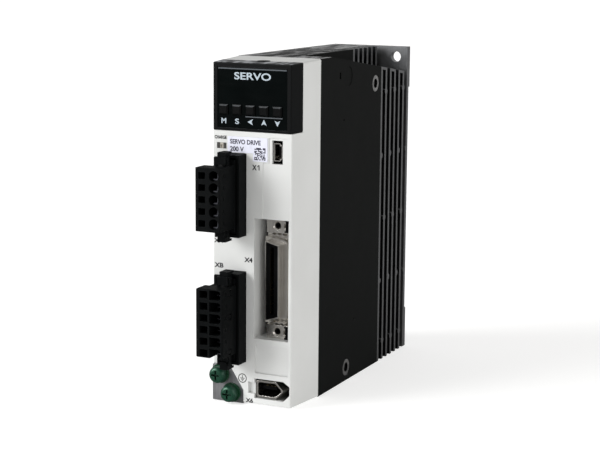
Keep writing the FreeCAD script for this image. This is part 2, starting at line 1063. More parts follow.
def signal_socket():
    """Tall D-shaped socket for the control signals, with jack-screw brackets and latch springs."""
    front = D.signal_front
    rear = D.signal_base
    shell = D.signal_shell
    outer = prism("signal_outer", "Y", signal_outline(shell, D.signal_right), (deep(front), deep(rear)))
    skirt = prism(
        "signal_skirt_block",
        "Y",
        signal_outline(D.signal_skirt, D.signal_skirt_right - D.signal_skirt),
        (deep(D.signal_step), deep(rear)),
    )
    skirt_round = rounded("signal_skirt_round", skirt, D.signal_skirt, right_edges(D.signal_skirt_right))
    flange = box(
        "signal_flange",
        (across(D.signal_left - D.signal_skirt), across(D.flange_right)),
        (deep(rear - D.flange_thick / 2), deep(rear + D.flange_thick)),
        (D.well_low + 0.3, D.well_high - 0.3),
    )
    through = (deep(front - 1), deep(rear + 1))
    hollow = prism("signal_hollow", "Y", signal_outline(0.05, D.signal_right), through)
    notches = [
        box(
            f"signal_notch_{name}",
            (across(D.flange_right - 1.4), across(D.flange_right + 1)),
            (deep(front), deep(rear + 1)),
            (height - D.bracket_half / 2, height + D.bracket_half / 2),
        )
        for name, height in (("high", D.jack_high), ("low", D.jack_low))
    ]
    node(carve("signal_shell", join("signal_shell_block", [outer, skirt_round, flange]), [hollow] + notches))

    block = prism("signal_block", "Y", signal_outline(0, D.signal_right), (deep(front + 0.3), deep(rear + 3)))
    middle = (D.signal_left + D.signal_right) / 2
    slot = box(
        "signal_slot",
        (across(middle - D.signal_slot / 2), across(middle + D.signal_slot / 2)),
        (deep(front), deep(front + D.signal_slot_depth)),
        (D.signal_low + 2.2, D.signal_high - 2.2),
    )
    node(carve("signal_insert", block, [slot]))

    brackets = []
    springs = []
    # The two ends mirror each other: inward is the way to the middle of the socket.
    for name, height, inward in (("high", D.jack_high, -1), ("low", D.jack_low, 1)):
        body = box(
            f"bracket_block_{name}",
            (across(D.bracket_left), across(D.bracket_right)),
            (deep(front), deep(rear - D.flange_thick / 2 - 0.05)),
            (height - D.bracket_half, height + D.bracket_half),
        )
        hole = rod(
            f"bracket_hole_{name}",
            "Y",
            (across(D.jack_across), height),
            (deep(front - 1), deep(rear)),
            D.jack_radius,
        )
        sink = doc.addObject("Part::Cone", f"bracket_sink_{name}")
        sink.Placement = Placement(Vector(), TURNS["Y"])
        bind(sink, "Radius1", D.jack_radius + D.jack_sink)
        bind(sink, "Radius2", D.jack_radius)
        bind(sink, "Height", D.jack_sink)
        place(sink, across(D.jack_across), deep(front), height)
        corner = box(
            f"bracket_corner_{name}",
            (across(D.bracket_right - 2.2), across(D.bracket_right + 1)),
            (deep(front - 1), deep(front + 2.4)),
            (height - D.bracket_half / 3, height + D.bracket_half / 3),
        )
        brackets.append(carve(f"bracket_{name}", body, [hole, sink, corner]))
        near = height + (D.bracket_half + D.spring_gap) * inward
        centre = across((D.bracket_left + D.bracket_right) / 2)
        wide = D.spring_width / 2
        thick = D.spring_thick
        wave = []
        for index in range(7):
            step = centre - wide + D.spring_width * (index / 6)
            wave.append((step, near + thick * (1 if index % 2 else -1)))
        lower = wave
        upper = [(x, z + thick) for x, z in reversed(wave)]
        springs.append(
            prism(f"spring_{name}", "Y", lower + upper, (deep(front - 0.6), deep(front + 2.4)))
        )
    node(bundle("signal_brackets", brackets))
    node(bundle("signal_latch_springs", springs))


def hexagon(inset):
    """Outline of the network socket: square on the left, pointed on the right."""
    inset = as_size(inset)
    middle = (D.hex_low + D.hex_high) / 2
    left = D.hex_left + inset
    low = D.hex_low + inset
    high = D.hex_high - inset
    return [
        (across(left), low + D.hex_chamfer),
        (across(left + D.hex_chamfer), low),
        (across(D.hex_nose - inset / 3), low),
        (across(D.hex_right - inset), middle - D.hex_tip),
        (across(D.hex_right - inset), middle + D.hex_tip),
        (across(D.hex_nose - inset / 3), high),
        (across(left + D.hex_chamfer), high),
        (across(left), high - D.hex_chamfer),
    ]


def network_socket():
    """Pointed metal socket for the real-time network, with its contact tongue."""
    span = (deep(D.hex_front), deep(D.hex_rear))
    outer = prism("network_outer", "Y", hexagon(0), span)
    hollow = prism("network_hollow", "Y", hexagon(D.hex_wall), (deep(D.hex_front - 1), deep(D.hex_rear + 1)))
    node(carve("network_shell", outer, [hollow]))
    floor_front = D.hex_rear - 3
    floor = prism("network_floor", "Y", hexagon(D.hex_wall + 0.05), (deep(floor_front), deep(D.hex_rear)))
    middle = (D.hex_low + D.hex_high) / 2 + 0.6
    tongue = box(
        "network_tongue",
        (across(D.tongue_left), across(D.tongue_right)),
        (deep(D.hex_front + 1.6), deep(floor_front + 1)),
        (middle - D.tongue_thick / 2, middle + D.tongue_thick / 2),
    )
    node(join("network_insert", [floor, tongue]))


# ---------------------------------------------------------------- earth terminals


def earth_terminals():
    """Bare plate in the cut-off corner with two screws that carry captive washers."""
    front = D.earth_front
    rear = front + D.earth_thick
    plate = prism("earth_sheet", "Y", earth_outline(D.earth_gap, D.earth_rim), (deep(front), deep(rear)))
    block = prism(
        "earth_block_solid",
        "Y",
        earth_outline(D.earth_gap * 2, D.earth_rim * 2),
        (deep(rear - 0.5), deep(rear + D.earth_block)),
    )
    holes = []
    places = (
        ("upper", D.earth_upper_across, D.earth_upper_height),
        ("lower", D.earth_lower_across, D.earth_lower_height),
    )
    for name, a, z in places:
        centre = (across(a), z)
        holes.append(
            rod(
                f"earth_hole_{name}",
                "Y",
                centre,
                (deep(0), deep(rear + D.earth_block + 1)),
                D.screw_radius + D.thread_gap,
            )
        )
        washers_and_screw(name, centre, front)
    node(carve("earth_plate", join("earth_body", [plate, block]), holes))


def washers_and_screw(name, centre, front):
    """One screw with a domed cross-recessed head, and the two washers under it."""
    flat = (deep(front - D.washer_thick), deep(front - 0.02))
    top = front - D.washer_thick
    bore = D.screw_radius + D.washer_gap
    spring_top = top - D.spring_washer_thick
    through = (deep(spring_top - 1), deep(front + 1))
    flat_ring = rod(f"flat_{name}", "Y", centre, flat, D.washer_radius)
    flat_hole = rod(f"flat_hole_{name}", "Y", centre, through, bore)
    spring_ring = rod(
        f"split_{name}", "Y", centre, (deep(spring_top), deep(top - 0.02)), D.spring_washer_radius
    )
    spring_hole = rod(f"split_hole_{name}", "Y", centre, through, bore)
    gap = box(
        f"split_gap_{name}",
        (centre[0] + D.screw_radius, centre[0] + D.spring_washer_radius + 1),
        through,
        (centre[1] - 0.3, centre[1] + 0.3),
    )
    node(
        bundle(
            f"earth_washers_{name}",
            [
                carve(f"flat_washer_{name}", flat_ring, [flat_hole]),
                carve(f"split_washer_{name}", spring_ring, [spring_hole, gap]),
            ],
        )
    )
    head_front = spring_top - 0.02 - D.screw_head
    head = rod(
        f"head_{name}", "Y", centre, (deep(head_front), deep(spring_top - 0.02)), D.screw_head_radius
    )
    dome = rounded(f"dome_{name}", head, D.screw_dome, touches_front_only(deep(head_front)))
    shank = rod(
        f"shank_{name}",
        "Y",
        centre,
        (deep(spring_top - 0.5), deep(spring_top + D.screw_length)),
        D.screw_radius,
    )
    long = D.cross_length / 2
    short = D.cross_width / 2
    cross = (deep(head_front - 1), deep(head_front + D.cross_depth))
    bars = [
        box(
            f"cross_flat_{name}",
            (centre[0] - long, centre[0] + long),
            cross,
            (centre[1] - short, centre[1] + short),
        ),
        box(
            f"cross_tall_{name}",
            (centre[0] - short, centre[0] + short),
            cross,
            (centre[1] - long, centre[1] + long),
        ),
    ]
    node(carve(f"earth_screw_{name}", join(f"screw_blank_{name}", [dome, shank]), bars))


# ---------------------------------------------------------------- plug-in terminals


class Connector:
    """The places that one header, its plug and its two latches share."""

    def __init__(self, name, poles, plug_right, latch_left):
        self.name = name
        self.poles = poles
        self.low = sized(name, "header_low")
        self.high = sized(name, "header_high")
        self.plug_low = sized(name, "plug_low")
        self.plug_high = sized(name, "plug_high")
        self.first = sized(name, "first_pole")
        self.plug_right = plug_right
        self.latch_left = latch_left
        self.latch_right = latch_left + D.latch_width
        self.tab_left = latch_left - D.header_tab

    def heights(self):
        """Height of each pole, from the top."""
        return [self.first - D.pole_pitch * index for index in range(self.poles)]


def sized(name, rest):
    """A connector's own length from the sheet."""
    return getattr(D, f"{name}_{rest}")


MAIN = Connector("main", 5, D.main_plug_right, D.main_latch_left)
MOTOR = Connector("motor", 6, D.motor_plug_right, D.motor_latch_left)


def header_blocks(label, connector, grow, y):
    """The two overlapping boxes of a header: y holds the two fronts and the shared rear."""
    grow = as_size(grow)
    margin = D.header_margin + grow
    right = across(D.header_right + grow)
    return [
        box(
            f"{connector.name}_{label}_wide",
            (across(D.header_left - grow), right),
            (y[0], y[2]),
            (connector.plug_low - margin, connector.plug_high + margin),
        ),
        box(
            f"{connector.name}_{label}_tall",
            (across(connector.tab_left - grow), right),
            (y[1], y[2]),
            (connector.low - grow, connector.high + grow),
        ),
    ]


def header(connector):
    """Shroud with a low left side and a tall right side, and a floor that holds the pins."""
    prefix = connector.name
    wall = D.header_wall
    front = -D.header_front
    outer_depth = (deep(-D.header_low_front), deep(front), deep(D.header_rear))
    inner_depth = (deep(front - 1), deep(front - 1), deep(D.header_floor))
    outer = header_blocks("shroud", connector, 0, outer_depth)
    inner = header_blocks("hollow", connector, -wall, inner_depth)
    holes = []
    pins = []
    half = D.pin_size / 2
    for index, z in enumerate(connector.heights()):
        holes.append(
            square(
                f"{prefix}_pin_hole_{index}",
                across(D.pin_across),
                z,
                D.pin_size,
                (deep(0), deep(D.header_rear + 1)),
            )
        )
        straight = square(
            f"{prefix}_pin_{index}",
            across(D.pin_across),
            z,
            D.pin_size,
            (deep(-D.pin_front), deep(D.pin_rear)),
        )
        leg = box(
            f"{prefix}_pin_leg_{index}",
            (across(D.power_board_left + D.board_thick), across(D.pin_across)),
            (deep(D.pin_rear - D.pin_size), deep(D.pin_rear)),
            (z - half, z + half),
        )
        pins.append(join(f"{prefix}_bent_pin_{index}", [straight, leg]))
    middle = across((connector.latch_left + connector.latch_right) / 2)
    half = D.latch_lug_width / 2
    lugs = [
        box(
            f"{prefix}_lug_{name}",
            (middle - half, middle + half),
            (deep(front), deep(front + D.latch_lug_depth)),
            span,
        )
        for name, span in (
            ("high", (connector.high - 0.5, connector.high + D.latch_lug)),
            ("low", (connector.low - D.latch_lug, connector.low + 0.5)),
        )
    ]
    shroud = carve(f"{prefix}_shroud_open", join(f"{prefix}_shroud", outer), inner + holes)
    node(join(f"{prefix}_header", [shroud] + lugs))
    node(bundle(f"{prefix}_pins", pins))


def plug_nose(connector):
    """The part of a plug that enters the shroud."""
    gap = D.header_wall + D.plug_nose_gap
    depth = (deep(-D.plug_nose_start), deep(D.plug_nose_rear))
    right = across(D.plug_nose_right)
    return [
        box(
            f"{connector.name}_nose",
            (across(D.plug_left), right),
            depth,
            (connector.plug_low, connector.plug_high - D.plug_notch),
        ),
        box(
            f"{connector.name}_nose_tall",
            (across(connector.tab_left + gap), right),
            depth,
            (connector.low + gap, connector.high - gap),
        ),
    ]


def plug_notch(connector):
    """Step in the upper left edge of a plug behind its front."""
    return box(
        f"{connector.name}_plug_notch",
        (across(D.plug_left - 1), across(connector.latch_left - D.latch_gap - D.latch_ear)),
        (deep(-D.plug_notch_front), deep(D.plug_nose_rear + 1)),
        (connector.plug_high - D.plug_notch, connector.plug_high + 1),
    )


def pin_sockets(connector):
    """Square passages for the pins, into the rear of the plug."""
    size = D.pin_size + D.pin_socket_gap * 2
    return [
        square(
            f"{connector.name}_socket_{index}",
            across(D.pin_across),
            z,
            size,
            (deep(-D.pin_front - 1), deep(D.plug_nose_rear + 1)),
        )
        for index, z in enumerate(connector.heights())
    ]


def ears(connector):
    """Two pairs of ears on the plug for the pivots of its latches, and the holes through them."""
    inner_left = connector.latch_left - D.latch_gap
    inner_right = connector.latch_right + D.latch_gap
    reach = D.latch_ear_radius
    high = connector.high - D.latch_pivot_below
    low = connector.low + D.latch_pivot_below
    pieces = []
    holes = []
    for name, pivot, span in (
        ("high", high, (connector.plug_high - 0.5, high + reach)),
        ("low", low, (low - reach, connector.plug_low + 0.5)),
    ):
        depth = (deep(-D.latch_pivot_front - reach), deep(-D.latch_pivot_front + reach))
        for side, x in (
            ("left", (inner_left - D.latch_ear, inner_left)),
            ("right", (inner_right, inner_right + D.latch_ear)),
        ):
            pieces.append(
                box(f"{connector.name}_ear_{name}_{side}", (across(x[0]), across(x[1])), depth, span)
            )
        holes.append(
            rod(
                f"{connector.name}_ear_hole_{name}",
                "X",
                (deep(-D.latch_pivot_front), pivot),
                (across(inner_left - D.latch_ear - 0.1), across(inner_right + D.latch_ear + 0.1)),
                D.latch_pin_radius + D.latch_pin_gap,
            )
        )
    return pieces, holes


def latch(connector, name):
    """Rocking lever: a finger pad in front of the pivot, an arch over the shroud's lug behind it."""
    upper = name == "upper"
    end = connector.high if upper else connector.low
    plug_end = connector.plug_high if upper else connector.plug_low
    label = f"{connector.name}_{name}"

    def beyond(start, distance):
        return start + as_size(distance) if upper else start - as_size(distance)

    def span(first, second):
        return (first, second) if upper else (second, first)

    width = (across(connector.latch_left), across(connector.latch_right))
    pivot = beyond(end, -D.latch_pivot_below)
    pad_near = beyond(plug_end, D.latch_pad_clear)
    pad_far = beyond(end, -D.latch_pad_top) if upper else beyond(pad_near, D.latch_pad_short)
    pad = box(
        f"{label}_pad",
        (across(connector.latch_left), across(connector.latch_right + D.latch_pad_over)),
        (deep(-D.latch_pad_front), deep(-D.latch_pad_front + D.latch_pad_thick)),
        span(pad_near, pad_far),
    )
    half = D.latch_neck / 2
    neck = box(
        f"{label}_neck",
        width,
        (deep(-D.latch_pad_front + D.latch_pad_thick / 2), deep(-D.latch_pivot_front + half)),
        (pivot - half, pivot + half),
    )
    arm = box(
        f"{label}_arm",
        width,
        (deep(-D.latch_pivot_front - half), deep(-D.latch_arch_front + D.latch_arch_wall)),
        span(beyond(pivot, -half), beyond(end, D.latch_arch_top)),
    )
    arch = box(
        f"{label}_arch",
        width,
        (deep(-D.latch_arch_front), deep(-D.latch_arch_rear)),
        span(beyond(end, D.latch_arch_low), beyond(end, D.latch_arch_top)),
    )
    middle = (connector.latch_left + connector.latch_right) / 2
    window = box(
        f"{label}_window",
        (across(middle - D.latch_window / 2), across(middle + D.latch_window / 2)),
        (deep(-D.latch_arch_front + D.latch_arch_wall), deep(-D.latch_arch_rear - D.latch_arch_wall)),
        span(end, beyond(end, D.latch_arch_top + 1)),
    )
    pin = rod(
        f"{label}_pin",
        "X",
        (deep(-D.latch_pivot_front), pivot),
        (
            across(connector.latch_left - D.latch_gap - D.latch_ear),
            across(connector.latch_right + D.latch_gap + D.latch_ear),
        ),
        D.latch_pin_radius,
    )
    lever = carve(f"{label}_lever", join(f"{label}_blank", [pad, neck, arm, arch]), [window])
    return node(join(f"{connector.name}_latch_{name}", [lever, pin]))


def clamps(connector, left, drop, sunk):
    """A folded spring in each tool hole of a plug."""
    thick = D.clamp_thick
    front = sunk - D.plug_reach
    rear = D.clamp_end - D.plug_reach
    right = left + D.clamp_width
    leaf_right = right - D.clamp_leaf / 2
    springs = []
    for index, height in enumerate(connector.heights()):
        z = height - drop
        lip = box(
            f"{connector.name}_lip_{index}",
            (across(left), across(right)),
            (deep(front), deep(rear)),
            (z, z + thick),
        )
        leaf = box(
            f"{connector.name}_leaf_{index}",
            (across(leaf_right - thick), across(leaf_right)),
            (deep(front + D.clamp_leaf), deep(rear)),
            (z + thick / 2, z + thick + drop),
        )
        springs.append(join(f"{connector.name}_spring_{index}", [lip, leaf]))
    node(bundle(f"{connector.name}_clamps", springs))


def side_slots(connector, front):
    """Row of small slots down the right side of a plug."""
    right = connector.plug_right
    half = D.side_slot_height / 2
    return [
        box(
            f"{connector.name}_side_slot_{index}",
            (across(right - D.side_slot_depth), across(right + 1)),
            (deep(-front), deep(-front + D.side_slot_length)),
            (z - half, z + half),
        )
        for index, z in enumerate(connector.heights())
    ]


def wire_holes(connector, left, right, height):
    """Square wire entries in the front of a plug."""
    front = -D.plug_reach
    return [
        box(
            f"{connector.name}_wire_hole_{index}",
            (across(left), across(right)),
            (deep(front - 1), deep(front + D.wire_hole_depth)),
            (z - height / 2, z + height / 2),
        )
        for index, z in enumerate(connector.heights())
    ]


def plug_block(connector, name, right, y):
    """Body of a plug in front of its shroud."""
    return box(
        f"{connector.name}_plug_{name}",
        (across(D.plug_left), across(right)),
        y,
        (connector.plug_low, connector.plug_high),
    )


def main_plug():
    """Five-pole mains plug with round tool holes."""
    header(MAIN)
    front = -D.plug_reach
    rear = deep(D.plug_shoulder - D.plug_nose_start)
    block = plug_block(MAIN, "block", MAIN.plug_right, (deep(front), rear))
    soft = rounded("main_plug_soft", block, D.plug_round, touches_front(deep(front)))
    pieces, tools = ears(MAIN)
    tools = tools + pin_sockets(MAIN) + side_slots(MAIN, D.main_slot_front)
    tools += wire_holes(MAIN, D.main_wire_left, D.main_wire_right, D.main_wire_height)
    tools += [
        rod(
            f"main_tool_hole_{index}",
            "Y",
            (across(D.main_tool_across), z),
            (deep(front - 1), deep(front + D.tool_hole_depth)),
            D.main_tool_radius,
        )
        for index, z in enumerate(MAIN.heights())
    ]
    tools.append(plug_notch(MAIN))
    node(carve("main_plug", join("main_plug_blank", [soft] + plug_nose(MAIN) + pieces), tools))
    clamps(MAIN, D.main_tool_across - D.clamp_width / 2 + 0.2, D.main_clamp_drop, D.main_clamp_sunk)
    latch(MAIN, "upper")
    latch(MAIN, "lower")


def motor_plug():
    """Six-pole motor plug with D-shaped tool holes and a stepped right side."""
    header(MOTOR)
    front = -D.plug_reach
    right = MOTOR.plug_right
    rear = deep(D.plug_shoulder - D.plug_nose_start)
    block = plug_block(MOTOR, "block", right, (deep(front), deep(-D.motor_step_front)))
    soft = rounded("motor_plug_soft", block, D.plug_round * 2, touches_front(deep(front)))
    middle = plug_block(MOTOR, "middle", right - D.motor_plug_step, (deep(-D.motor_step_front - 1), rear))
    pieces, tools = ears(MOTOR)
    tools = tools + pin_sockets(MOTOR) + side_slots(MOTOR, D.motor_slot_front)
    tools += wire_holes(MOTOR, D.motor_wire_left, D.motor_wire_right, D.motor_wire_height)
    depth = (deep(front - 1), deep(front + D.tool_hole_depth))
    half = D.motor_tool_height / 2
    corner = D.motor_tool_corner
    for index, z in enumerate(MOTOR.heights()):
        slot = box(
            f"motor_tool_slot_{index}",
            (across(D.motor_tool_left), across(D.motor_tool_right)),
            depth,
            (z - half, z + half),
        )
        tools.append(rounded(f"motor_tool_hole_{index}", slot, corner, right_edges(D.motor_tool_right)))
    tools += coding_marks(MOTOR, (0, 2, 5))
    tools.append(plug_notch(MOTOR))
    node(carve("motor_plug", join("motor_plug_blank", [soft, middle] + plug_nose(MOTOR) + pieces), tools))
    clamps(MOTOR, D.motor_tool_left + D.clamp_width / 2, D.motor_clamp_drop, D.motor_clamp_sunk)
    latch(MOTOR, "upper")
    latch(MOTOR, "lower")


def coding_marks(connector, rows):
    """C-shaped grooves in the right side of a plug beside chosen poles."""
    grooves = []
    line = D.mark_line
    front = -D.mark_front
    rear = front + D.mark_length
    x = (across(connector.plug_right - D.mark_depth), across(connector.plug_right + 1))
    heights = connector.heights()
    for index in rows:
        low = heights[index] - D.mark_height / 2
        high = heights[index] + D.mark_height / 2
        for name, depth, height in (
            ("back", (rear - line, rear), (low, high)),
            ("top", (front, rear), (high - line, high)),
            ("base", (front, rear), (low, low + line)),
        ):
            grooves.append(
                box(
                    f"{connector.name}_mark_{name}_{index}",
                    x,
                    (deep(depth[0]), deep(depth[1])),
                    height,
                )
            )
    return grooves


# ---------------------------------------------------------------- black case


def ramp_height(depth):
    """Height of the sloping floor of the upper screwdriver access at that depth."""
    slope = (D.case_height - D.ramp_end_height) / (D.case_depth - D.ramp_start)
    return D.case_height - slope * (as_size(depth) - D.ramp_start)


def vents(prefix, start, total, z):
    """Row of slots across the top or bottom of the case."""
    return [
        box(
            f"{prefix}_{index}",
            (across(D.vent_left), across(D.vent_right)),
            (deep(start + D.vent_pitch * index), deep(start + D.vent_pitch * index + D.vent_width)),
            z,
        )
        for index in range(total)
    ]


def case_shell():
    """Left side, top and base of the black case, with the lower screwdriver access."""
    wall = D.shell_wall
    front = D.cover_depth + D.seam_gap
    rear = D.shell_rear
    side_top = D.case_height
    left = box("shell_left", (across(0), across(wall)), (deep(front), deep(rear)), (as_size(0), side_top))
    right_edge = D.case_width - D.side_wall - D.seam_gap
    top_front = box(
        "shell_top_front",
        (across(0), across(right_edge)),
        (deep(front), deep(D.ramp_start - D.seam_gap)),
        (side_top - wall, side_top),
    )
    notch = D.ramp_left - D.ramp_wall - D.seam_gap
    top = box(
        "shell_top",
        (across(0), across(notch)),
        (deep(front), deep(D.side_rear - D.seam_gap)),
        (side_top - wall, side_top),
    )
    rear_top = box(
        "shell_top_rear",
        (across(0), across(D.sink_left - D.sink_clear)),
        (deep(front), deep(rear)),
        (side_top - wall, side_top),
    )
    base = box(
        "shell_base",
        (across(0), across(right_edge)),
        (deep(front), deep(D.side_rear - D.seam_gap)),
        (as_size(0), wall),
    )
    mirror_right = D.case_width - D.ramp_left
    rear_base = box(
        "shell_base_rear",
        (across(0), across(mirror_right)),
        (deep(front), deep(rear)),
        (as_size(0), wall),
    )
    access_end = D.case_height - ramp_height(rear)
    thick = D.ramp_wall
    ramp = prism(
        "shell_ramp",
        "X",
        [
            (deep(D.ramp_start - 4), as_size(0)),
            (deep(D.ramp_start), as_size(0)),
            (deep(rear), access_end),
            (deep(rear), access_end + thick),
            (deep(D.ramp_start - 4), thick),
        ],
        (across(0), across(mirror_right)),
    )
    notch_wall = box(
        "shell_notch_wall",
        (across(mirror_right - thick), across(mirror_right)),
        (deep(D.ramp_start - 4), deep(rear)),
        (as_size(0), access_end + thick),
    )
    access = prism(
        "shell_access",
        "X",
        [
            (deep(D.ramp_start), as_size(0)),
            (deep(D.ramp_start), as_size(-1)),
            (deep(rear + 1), as_size(-1)),
            (deep(rear + 1), access_end),
            (deep(rear), access_end),
        ],
        (across(-1), across(mirror_right - thick)),
    )
    solid = join("shell_walls", [left, top_front, top, rear_top, base, rear_base, ramp, notch_wall])
    high = (side_top - wall - 1, side_top + 1)
    low = (as_size(-1), wall + 1)
    slots = vents("vent_front", D.vent_front_start, count("vent_front_count"), high)
    slots += vents("vent_rear", D.vent_rear_start, count("vent_rear_count"), high)
    slots += vents("vent_base", D.vent_rear_start, count("vent_rear_count"), low)
    slots = slots + [access]
    side_bosses = rod(
        "shell_boss_clearance",
        "X",
        (deep(D.side_screw_low_depth), D.side_screw_low_height),
        (across(D.sink_left + D.sink_base), across(D.case_width)),
        D.side_boss_radius + D.sink_clear,
    )
    return node(carve("case_shell", solid, slots + [side_bosses]))


def side_screws():
    """Depth, height and name of the two screws in the right side."""
    return (
        ("high", D.side_screw_high_depth, D.side_screw_high_height),
        ("low", D.side_screw_low_depth, D.side_screw_low_height),
    )


def side_cover():
    """Black right side with the upper screwdriver access, held by two screws."""
    wall = D.side_wall
    front = D.cover_depth + D.seam_gap
    rear = D.side_rear
    thick = D.ramp_wall
    start = D.ramp_start
    right = D.case_width
    plate = prism(
        "side_plate",
        "X",
        [
            (deep(front), as_size(0)),
            (deep(rear), as_size(0)),
            (deep(rear), ramp_height(rear)),
            (deep(start), D.case_height),
            (deep(front), D.case_height),
        ],
        (across(right - wall), across(right)),
    )
    ramp = prism(
        "side_ramp",
        "X",
        [
            (deep(start), D.case_height - thick),
            (deep(rear), ramp_height(rear) - thick),
            (deep(rear), ramp_height(rear)),
            (deep(start), D.case_height),
        ],
        (across(D.ramp_left - thick), across(right)),
    )
    notch = prism(
        "side_notch",
        "X",
        [
            (deep(start), D.case_height - thick),
            (deep(rear), ramp_height(rear) - thick),
            (deep(rear), D.case_height),
            (deep(start), D.case_height),
        ],
        (across(D.ramp_left - thick), across(D.ramp_left)),
    )
    pieces = [plate, ramp, notch]
    tools = []
    for name, d, z in side_screws():
        centre = (deep(d), z)
        radius = D.side_boss_radius
        inside = (across(right - wall - D.side_boss), across(right - wall / 2))
        pieces.append(rod(f"side_boss_{name}", "X", centre, inside, radius))
        head = D.side_head_radius + 0.25
        tools.append(
            rod(
                f"side_head_hole_{name}",
                "X",
                centre,
                (across(right - D.side_head - D.side_head_sunk), across(right + 1)),
                head,
            )
        )
        tools.append(
            rod(
                f"side_shank_hole_{name}",
                "X",
                centre,
                (across(right - wall - D.side_boss - 1), across(right)),
                D.screw_radius + D.washer_gap,
            )
        )
    tools.append(
        box(
            "side_peg_hole",
            (across(right - 1), across(right + 1)),
            (
                deep(D.peg_hole_depth - D.peg_hole_width / 2),
                deep(D.peg_hole_depth + D.peg_hole_width / 2),
            ),
            (D.peg_hole_height - D.peg_hole_tall / 2, D.peg_hole_height + D.peg_hole_tall / 2),
        )
    )
    disc = rod(
        "side_disc",
        "X",
        (deep(D.disc_depth), D.disc_high),
        (across(right - D.disc_step), across(right + 1)),
        D.disc_radius,
    )
    tools.append(disc)
    for name, d, z in (
        ("high", D.dimple_high_depth, D.dimple_high_height),
        ("low", D.dimple_low_depth, D.dimple_low_height),
    ):
        tools.append(
            rod(
                f"side_dimple_{name}",
                "X",
                (deep(d), z),
                (across(right - D.dimple_step), across(right + 1)),
                D.dimple_radius,
            )
        )
    return node(carve("side_cover", join("side_walls", pieces), tools))


def side_cover_screws():
    """Two screws with ring heads and a round driver recess."""
    screws = []
    face = D.case_width - D.side_head_sunk
    for name, d, z in side_screws():
        centre = (deep(d), z)
        depth = (across(face - D.side_head), across(face))
        head = rod(f"side_head_{name}", "X", centre, depth, D.side_head_radius)
        shank = rod(
            f"side_shank_{name}",
            "X",
            centre,
            (across(face - D.side_screw_length), across(face - 1)),
            D.screw_radius,
        )
        recess = rod(
            f"side_recess_{name}",
            "X",
            centre,
            (across(face - D.side_socket_depth), across(face + 1)),
            D.side_socket_radius,
        )
        pip = rod(
            f"side_pip_{name}",
            "X",
            centre,
            (across(face - D.side_head + 0.5), across(face - D.side_socket_depth / 2)),
            D.side_socket_radius / 3,
        )
        blank = join(f"side_blank_{name}", [head, shank])
        screws.append(join(f"side_screw_{name}", [carve(f"side_ring_{name}", blank, [recess]), pip]))
    return node(bundle("side_screws", screws))


# ---------------------------------------------------------------- heat sink


